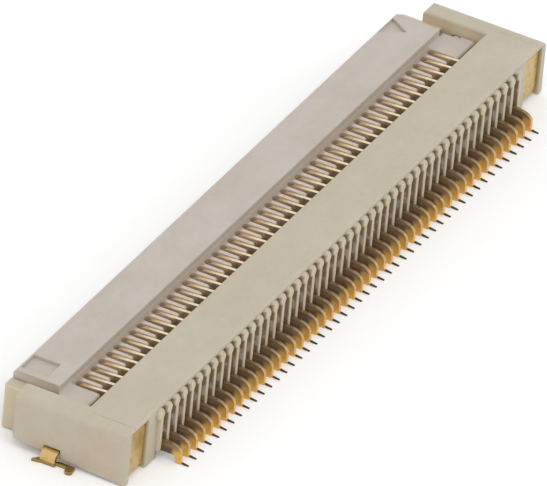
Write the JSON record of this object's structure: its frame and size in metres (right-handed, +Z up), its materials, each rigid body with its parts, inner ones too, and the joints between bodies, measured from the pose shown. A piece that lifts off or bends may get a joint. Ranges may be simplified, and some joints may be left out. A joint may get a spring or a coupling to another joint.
{
  "type": "flat flexible cable connector",
  "caption": "Low right-angle board connector for flat flexible cable, with a flip-lock flap, a row of hooked spring contacts and solder tails.",
  "frame": {"origin": "on the board plane, under the middle of the connector's overall box", "axes": "+X along the row of contacts, towards the end with the triangle mark; +Y towards the side the cable enters and the flap's edge; +Z up from the board"},
  "size_m": [0.0288, 0.006, 0.002],
  "materials": {
    "housing_plastic": "satin moulded",
    "flap_plastic": "satin moulded",
    "contact_metal": "gold-plated springy copper alloy",
    "hold_down_metal": "gold-plated sheet"
  },
  "bodies": {
    "base": {"housing": "housing_plastic", "hold_down_left": "hold_down_metal", "hold_down_right": "hold_down_metal", "contact_1": "contact_metal", "contact_2": "contact_metal", "contact_3": "contact_metal", "contact_4": "contact_metal", "contact_5": "contact_metal", "contact_6": "contact_metal", "contact_7": "contact_metal", "contact_8": "contact_metal", "contact_9": "contact_metal", "contact_10": "contact_metal", "contact_11": "contact_metal", "contact_12": "contact_metal", "contact_13": "contact_metal", "contact_14": "contact_metal", "contact_15": "contact_metal", "contact_16": "contact_metal", "contact_17": "contact_metal", "contact_18": "contact_metal", "contact_19": "contact_metal", "contact_20": "contact_metal", "contact_21": "contact_metal", "contact_22": "contact_metal", "contact_23": "contact_metal", "contact_24": "contact_metal", "contact_25": "contact_metal", "contact_26": "contact_metal", "contact_27": "contact_metal", "contact_28": "contact_metal", "contact_29": "contact_metal", "contact_30": "contact_metal", "contact_31": "contact_metal", "contact_32": "contact_metal", "contact_33": "contact_metal", "contact_34": "contact_metal", "contact_35": "contact_metal", "contact_36": "contact_metal", "contact_37": "contact_metal", "contact_38": "contact_metal", "contact_39": "contact_metal", "contact_40": "contact_metal", "contact_41": "contact_metal", "contact_42": "contact_metal", "contact_43": "contact_metal", "contact_44": "contact_metal", "contact_45": "contact_metal", "contact_46": "contact_metal", "contact_47": "contact_metal", "contact_48": "contact_metal"},
    "lock": {"flap": "flap_plastic"}
  },
  "joints": [
    {"name": "flap_hinge", "type": "hinge", "parent": "base", "child": "lock", "pos_m": [0, 0.00092, 0.00133], "axis": [1, 0, 0], "range_deg": [0, 90]}
  ]
}
